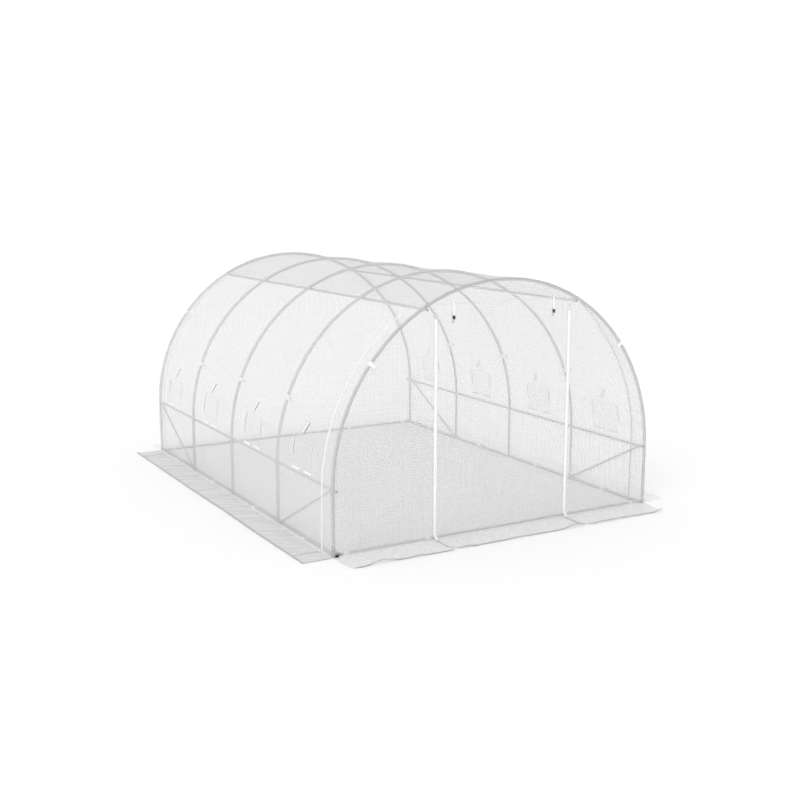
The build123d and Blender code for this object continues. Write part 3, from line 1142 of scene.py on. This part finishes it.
def wall_sheet():
    """A flat end wall: straight sides under a half circle."""
    sheet = flat_sheet((-1, 0), (1, 1), wall_columns, wall_rows)
    for corner in sheet.verts:
        across = arch_radius * sin(corner.co.x * pi / 2)
        top = springing + sqrt(max(0, arch_radius**2 - across**2))
        corner.co = (across, ground_gap + (top - ground_gap) * corner.co.y, 0)
    return sheet


def on_front(low, high, columns, rows, lift=0, at=0):
    """Film on the front wall between two corners, beside a place on it."""
    return bent(low, high, columns, rows, lambda x, y: on_wall(-1, at + x, y, lift), film)


def build_walls():
    """Both end walls. The front one has the roll-up door and a slit where a base rail comes through."""
    front = wall_sheet()
    cut(front, Vector((corner_slit - arch_radius, ground_gap, 0)), Vector((-1, -1, 0)), trim=True)
    score(front, ACROSS, [-door_half, door_half])
    score(front, ALONG, [door_top])
    cut_out(front, (-door_half, 0), (door_half, door_top))
    form(front, lambda x, y: on_wall(-1, x, y), film)
    panels = ["front_left_panel", "front_right_panel", "front_top_panel"]
    front_piece = add_piece("front_wall_film", [front], wall_film, panels)

    low, high = (-door_half, ground_gap), (door_half, door_top)
    columns = cells(2 * door_half)
    door = on_front(low, high, columns, cells(door_top))
    door_piece = add_piece("door_film", [door], wall_film, ["front_door"])
    seam = on_front((-door_half, door_top - seam_width), high, columns, seam_rows, band_lift)
    seam_piece = add_piece("door_top_seam", [seam], seam_film)
    high = (arch_radius - corner_slit, foot_hem_height)
    foot = on_front(low, high, cells(high[0] - low[0]), seam_rows, 2 * band_lift)
    foot_piece = add_piece("wall_foot_hem", [foot], foot_film)

    back = form(wall_sheet(), lambda x, y: on_wall(1, x, y), film)
    back_piece = add_piece("back_wall_film", [back], wall_film, ["back_wall"])
    return front_piece, door_piece, [seam_piece, foot_piece], back_piece


def zip_place(side, across, height):
    """A place on a zip, whose coil stands proud and whose foot flares out over the skirts."""
    coil = zip_rib * sqrt(max(0, 1 - (across / zip_rib_half) ** 2))
    flare = zip_flare * max(0, 1 - height / zip_flare_height) ** 2
    lift = zip_tape + band_lift + coil + flare
    place = on_wall(-1, side * door_half + across, max(height, ground_gap), lift)
    place.x += flare
    place.z = max(place.z, skirt_rest + zip_tape + coil)
    return place


def build_zips():
    """The door's two zips, with their sliders drawn down to the ground."""
    tapes, edgings, sliders = [], [], []
    white_top = zip_top - zip_cover_drop
    for side in BOTH:
        low, high = (-zip_rib_half, ground_gap), (zip_rib_half, white_top)
        rows = cells(white_top, zip_cell)
        tapes.append(bent(low, high, zip_columns, rows, lambda x, y: zip_place(side, x, y), zip_tape))
        low, high = (-zip_half, ground_gap), (zip_half, zip_top)
        edgings.append(on_front(low, high, edging_columns, cells(zip_top), band_lift, side * door_half))
        seat = zip_place(side, 0, zip_flare_height)
        sliders.append(ringed(SLIDER, bolt_facets, facing(seat - ALONG * slider_out, UP)))
        seat = seat - ALONG * pull_tab_out + UP * pull_tab_up
        sliders.append(ringed(PULL_TAB, bolt_facets, facing(seat, -UP - ALONG * pull_tab_lean)))
    zips = add_piece("door_zip_tapes", tapes, zip_white, ["door_zips"])
    sewn = add_piece("zip_edgings", edgings, seam_film)
    return zips, sewn, add_piece("zip_sliders", sliders, white_tape)


def buckle(side):
    """A ladder buckle: a rounded frame with a bar between two slots."""
    low, high = (-buckle_width / 2, strap_end - buckle_height), (buckle_width / 2, strap_end)
    plate = flat_sheet(low, high, 2, 2)
    half = buckle_slot_width / 2
    slots = []
    for share in buckle_slots:
        centre = strap_end - buckle_height * share
        slots.append((centre - buckle_slot_height / 2, centre + buckle_slot_height / 2))
    score(plate, ACROSS, [-half, half])
    for slot in slots:
        score(plate, ALONG, slot)
    for low_edge, high_edge in slots:
        cut_out(plate, (-half, low_edge), (half, high_edge))
    lift = strap_film + buckle_depth
    form(plate, lambda x, y: on_wall(-1, side * strap_place + x, y, lift), buckle_depth)
    edges = [edge for edge in plate.edges if edge.is_manifold]
    sharp = [edge for edge in edges if edge.calc_face_angle() > buckle_bevel_above]
    rounding = {"offset": buckle_bevel, "segments": 2, "profile": 0.5}
    bmesh.ops.bevel(plate, geom=sharp, affect="EDGES", material=-1, **rounding)
    return plate


def build_straps():
    """The straps that hold the rolled-up door: white webbing, black buckles and grey loose tails."""
    straps, buckles, loose_tails = [], [], []
    for side in BOTH:

        def strap_bend(across, height):
            hang_share = (door_top - height) / (door_top - strap_end)
            lift = strap_film + strap_hang * hang_share**2
            return on_wall(-1, side * strap_place + across, height, lift)

        def tail_bend(across, height):
            loose_share = (strap_end - height) / (strap_end - strap_tail_end)
            drift = side * strap_place + across - strap_tail_drift * loose_share**2
            lift = strap_film + strap_tail_lift * (1 - loose_share) + strap_tail_stand
            return on_wall(-1, drift, height, lift)

        low, high = (-strap_width / 2, strap_end - strap_lap), (strap_width / 2, door_top)
        straps.append(bent(low, high, strap_columns, strap_rows, strap_bend, strap_film))
        buckles.append(buckle(side))
        low, high = (-strap_tail_width / 2, strap_tail_end), (strap_tail_width / 2, strap_tail_start)
        loose_tails.append(bent(low, high, strap_columns, strap_tail_rows, tail_bend, strap_film))
    webbing = add_piece("door_webbing", straps, white_tape, ["door_straps"])
    clasps = add_piece("ladder_buckles", buckles, black, ["strap_buckles"])
    return webbing, clasps, add_piece("strap_tails", loose_tails, loose_tape)


def patch(side, place, breadth, low_rise, high_rise, lift, thickness, lean=0):
    """A patch on the cover between two rises above the springing line, which may lean along the tunnel."""
    low, high = rise_to_across(low_rise), rise_to_across(high_rise)

    def bend(across, along):
        share = (low - across) / (low - high)
        return over_tunnel(side * across, place + side * along + lean * share, lift)

    columns, rows = cells(low - high, patch_cell_across), cells(breadth, patch_cell_along)
    return bent((high, -breadth / 2), (low, breadth / 2), columns, rows, bend, thickness)


def build_windows(side_name, side):
    """The netted windows of one side, with their flaps and what holds them down.

    The dark strips beside the fasteners are painted shadow.
    """
    nets, flaps, fasteners, edges = [], [], [], []
    strip_spread = (flap_breadth - strip_width) / 2

    def strip(at, breadth, low, high, lean=0):
        return patch(side, at, breadth, low, high, strip_lift, strip_film, lean)

    for place in window_places:
        low, high = window_low - net_lap, window_high + net_lap
        nets.append(patch(side, place, net_breadth, low, high, -net_sink, film))
        low, high = window_low - flap_overlap, window_high + flap_overlap
        breadth = window_breadth + 2 * flap_overlap
        flaps.append(patch(side, place, breadth, low, high, flap_lift, film))
        for hand in BOTH:
            at = place + hand * strip_spread
            fasteners.append(strip(at, strip_width, strip_low, window_high))
            # Painted shadow: a dark strip along one side of each fastener strip.
            at -= hand * (strip_width + strip_shadow_width) / 2
            edges.append(strip(at, strip_shadow_width, strip_low, window_high))
            at = place + hand * tab_spread / 2
            fasteners.append(strip(at, tab_width, window_low - tab_height, window_low))
        slanting = (window_tie_low, window_tie_high, -window_tie_lean)
        at = place + window_tie_shift
        # Painted shadow: a dark strip along one side of the slanting tie.
        edges.append(strip(at + tie_shadow_width / 2, tie_shadow_width, *slanting))
        fasteners.append(strip(at + tie_shadow_width + window_tie_width / 2, window_tie_width, *slanting))
    net = add_piece(f"{side_name}_nets", nets, window_net, [f"{side_name}_window_nets"])
    flap = add_piece(f"{side_name}_flaps", flaps, flap_film, [f"{side_name}_window_flaps"])
    held = add_piece(f"{side_name}_fasteners", fasteners, white_tape, [f"{side_name}_window_fasteners"])
    return net, flap, held, add_piece(f"{side_name}_fastener_painted_shadows", edges, fastener_painted_shadow)


class Skirt:
    """How one skirt lies: bent out at the wall, then along the ground with its folds and loose edges."""

    def __init__(self, node, outward, wave, seed, ends, lifts, film_kind):
        self.node = node
        self.outward = outward
        self.wave = wave
        self.seed = seed
        self.ends = ends
        self.lifts = lifts
        self.film_kind = film_kind
        low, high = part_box(node)
        self.sideways = UP.cross(outward)
        self.reach = abs((high - low).dot(outward))
        self.start = (low + high) / 2 - outward * (self.reach / 2)
        self.start.z = 0
        self.half = abs((high - low).dot(self.sideways)) / 2

    def end_at(self, hand, out):
        """How far the skirt goes to one hand at a distance out: straight, splayed or rounded off."""
        splay, corner = self.ends[hand]
        past = max(0, out - self.reach + corner)
        rounding = corner - sqrt(max(0, corner**2 - past**2))
        return self.half + splay * out / self.reach - rounding

    def lifted(self, aside):
        """How high the loose outer edge stands at a place along the skirt."""
        rise = 0
        for centre, spread, height in self.lifts:
            share = max(0, 1 - abs(aside - centre) / spread)
            rise += height * share**2 * (3 - 2 * share)
        return rise

    def cove_share(self, aside):
        """The bend at the wall flattens out at the skirt's ends, where the base rails come through."""
        return kept_share((self.half - abs(aside) - skirt_bend) / skirt_end_flat)

    def place(self, share, out, lift=0):
        """The place on the skirt at a share of its length, from -1 to 1, and a distance out."""
        aside = share * self.end_at(-1 if share < 0 else 1, out)
        turn = min(out / skirt_bend, pi / 2)
        flat = max(0, out - skirt_bend * pi / 2)
        outer_share = min(1, out / self.reach)
        rise = self.wave * max(0, ruffled(aside, self.seed, SKIRT_RIPPLES)) * outer_share**2
        rise += self.lifted(aside) * outer_share**3
        fold = ruffled(aside + skirt_fold_slant * out, out, SKIRT_FOLDS, self.seed)
        rise += skirt_crinkle * max(0, fold + skirt_fold_bias) * min(1, out / skirt_fold_start)
        cove = skirt_bend * self.cove_share(aside)
        height = cove * (1 - sin(turn)) + skirt_rest + rise + lift
        wander = ruffled(aside, self.seed, SKIRT_WANDER) * outer_share
        distance = min(skirt_bend * (1 - cos(turn)) + flat + wander, self.reach)
        return self.start + self.sideways * aside + self.outward * distance + UP * height

    def sheet(self, low, high, columns, rows, lift, thickness):
        """A strip of the skirt between two shares of its length and two distances out."""
        strip = flat_sheet(low, high, columns, rows)
        if low[1] == 0:
            steps = range(1, skirt_bend_steps + 1)
            score(strip, ALONG, [skirt_bend * pi / 2 * step / skirt_bend_steps for step in steps])
        if low[1] < self.reach - skirt_cell:
            score(strip, ALONG, [self.reach - skirt_cell * share for share in skirt_edge_cuts])
        bmesh.ops.scale(strip, vec=(self.half, 1, 1), verts=strip.verts)
        return form(strip, lambda x, y: self.place(x / self.half, y, lift), thickness)

    def build(self, laps=()):
        """The skirt, with a turned-over hem along its outer edge and across it where two films lap.

        The hems' dark grey is painted shade of the lifted edges and the laps.
        """
        columns, rows = cells(2 * self.half, skirt_cell), cells(self.reach, skirt_cell)
        film_part = self.sheet((-1, 0), (1, self.reach), columns, rows, 0, skirt_film)
        # Hems and lap lines are real strips, and their dark grey is painted shade.
        hems, lines = [], []
        if self.film_kind is not skirt_painted_light:
            low, high = (-1, self.reach - skirt_hem), (1, self.reach)
            hems.append(self.sheet(low, high, columns, 1, skirt_hem_film / 2, skirt_hem_film))
            for hand, (splay, corner) in self.ends.items():
                if corner and splay > 0:
                    lines.append(sorted((hand, hand * (1 - skirt_hem / self.half))))
        half_line = lap_line / 2 / self.half
        lines += [(lap / self.half - half_line, lap / self.half + half_line) for lap in laps]
        for near, far in lines:
            low, high = (near, skirt_bend * 2), (far, self.reach)
            hems.append(self.sheet(low, high, 1, rows, skirt_film * 2, lap_film))
        sheet_piece = add_piece(f"{self.node}_film", [film_part], self.film_kind, [self.node])
        hem_pieces = [add_piece(f"{self.node}_hem", hems, hem_painted_shade_sheet)] if hems else []
        return sheet_piece, hem_pieces, (2 * self.half, self.reach)


def build_skirts():
    """All skirts round the tunnel. Beside the door each strip's rounded end lies over the next one.

    A row gives the way out, the wave, a place in the noise, the splay and rounding of both ends, and the
    place, spread and height of each stretch of the edge that is lifted.
    """
    square, rounded = (0, 0), (0.020, 0.060)
    # The last column is the skirt's film; the lighter copies on the front, right and back skirts are
    # painted light.
    rows = {
        "left_skirt": (-ACROSS, side_wave, 1.3, {-1: square, 1: square}, (), skirt_sheet),
        "right_skirt": (ACROSS, side_wave, 2.9, {-1: (0, 0.080), 1: square}, (), skirt_painted_light),
        "front_left_skirt": (
            -ALONG,
            front_wave,
            4.1,
            {-1: (-0.010, 0.050), 1: (0.004, 0)},
            ((-0.16, 0.16, 0.026), (0.14, 0.10, 0.008)),
            front_skirt,
        ),
        "door_skirt": (
            -ALONG,
            front_wave,
            5.6,
            {-1: (0.012, 0.110), 1: square},
            ((-0.62, 0.10, 0.008), (-0.50, 0.08, 0.012), (0.0, 0.25, 0.006), (0.53, 0.11, 0.026)),
            front_skirt,
        ),
        "front_right_skirt": (
            -ALONG,
            front_wave,
            7.2,
            {-1: (0.018, 0.100), 1: (-0.050, 0)},
            ((-0.43, 0.12, 0.008), (-0.16, 0.30, 0.010), (0.38, 0.10, 0.020)),
            front_skirt,
        ),
        "back_skirt": (ALONG, side_wave, 8.8, {-1: rounded, 1: rounded}, (), skirt_painted_light),
    }
    low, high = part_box("left_skirt")
    front_edge = (high.y - low.y - lap_line) / 2
    laps = {"left_skirt": (-lap_place, lap_place, front_edge)}
    return {node: Skirt(node, *row).build(laps.get(node, ())) for node, row in rows.items()}


def declare_sheets(bands, walls, windows, skirts, zips, straps):
    """Works out the flat size that each film piece was cut to, which nothing here keeps or passes on."""
    arches = list(ARCHES)
    full_width, full_length = 2 * cover_reach, 2 * (end_place + end_roll)
    past_arch = band_edge - end_place
    for (band, hems), arch in zip(bands, (arches[0], arches[-1])):
        flat = (band_low + right_band_more - past_arch, full_width)
        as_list(hems)
    front, door, seams, back = walls
    flat = (2 * arch_radius, springing + arch_radius)
    sewn_on = [*seams, *zips, *straps]
    count = len(window_places)
    height = window_high - window_low
    for net, flap, *fasteners in windows:
        flat = (height + 2 * net_lap, net_breadth * count)
        flat = (height + 2 * flap_overlap, (window_breadth + 2 * flap_overlap) * count)
        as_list(fasteners)
    for sheet, hems, flat in skirts.values():
        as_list(hems)


def build_stage():
    """A white floor with painted shade under the tunnel, an even white surround, one soft lamp and the
    camera.
    """
    scene = bpy.context.scene
    scene.view_settings.view_transform = "Standard"
    scene.cycles.transparent_max_bounces = see_through_bounces

    plane = bmesh.new()
    bmesh.ops.create_grid(plane, x_segments=1, y_segments=1, size=floor_half)
    mesh = bpy.data.meshes.new("floor")
    plane.to_mesh(mesh)
    plane.free()
    placed("floor", mesh)
    ground = new_shader("floor_with_painted_shade")
    across, along = ground.measures(ground.node("ShaderNodeTexCoord", output="Object"))
    # Painted shade: under the tunnel the floor's colour turns grey, with soft edges, in place of the film's
    # shadow.
    inside_across = ((film_radius - across.size()) * (1 / shade_fade)).limited()
    inside_along = ((wall_place - along.size()) * (1 / shade_fade)).limited()
    shade = ground.mixed(inside_across * inside_along, *floor_and_painted_shade_tones)
    mesh.materials.append(ground.coat(Base_Color=shade, Roughness=floor_roughness))

    scene.world = bpy.data.worlds.new("white_surround")
    sky = Shader(scene.world)
    path = sky.node("ShaderNodeLightPath", output="Is Camera Ray")
    seen = path.most(path.other("Is Glossy Ray")).most(path.other("Is Transmission Ray"))
    strength = sky_level + seen * sky_seen_more
    sky.fill(sky.tree.nodes["Background"], {"Color": sky_white, "Strength": strength})

    lamp = bpy.data.lights.new("soft_lamp", "SUN")
    lamp.energy = lamp_energy
    lamp.angle = lamp_spread
    placed("soft_lamp", lamp).rotation_euler = lamp_heading.to_track_quat("-Z", "Y").to_euler()

    view = bpy.data.cameras.new("camera")
    view.lens = camera_lens
    view.sensor_width = camera_sensor
    camera = placed("camera", view)
    camera.location = camera_place
    camera.rotation_euler = (camera_target - camera_place).to_track_quat("-Z", "Y").to_euler()
    scene.camera = camera


build_tubes()
build_caps()
arch_tabs = build_ties()
tunnel_film = build_cover()
edge_bands = [build_band(end_name, end) for end_name, end in ENDS.items()]
end_walls = build_walls()
door_zips = build_zips()
door_straps = build_straps()
side_windows = [build_windows(side_name, side) for side_name, side in SIDES.items()]
ground_skirts = build_skirts()
declare_sheets(
    edge_bands, end_walls, side_windows, ground_skirts, door_zips, door_straps
)
build_stage()
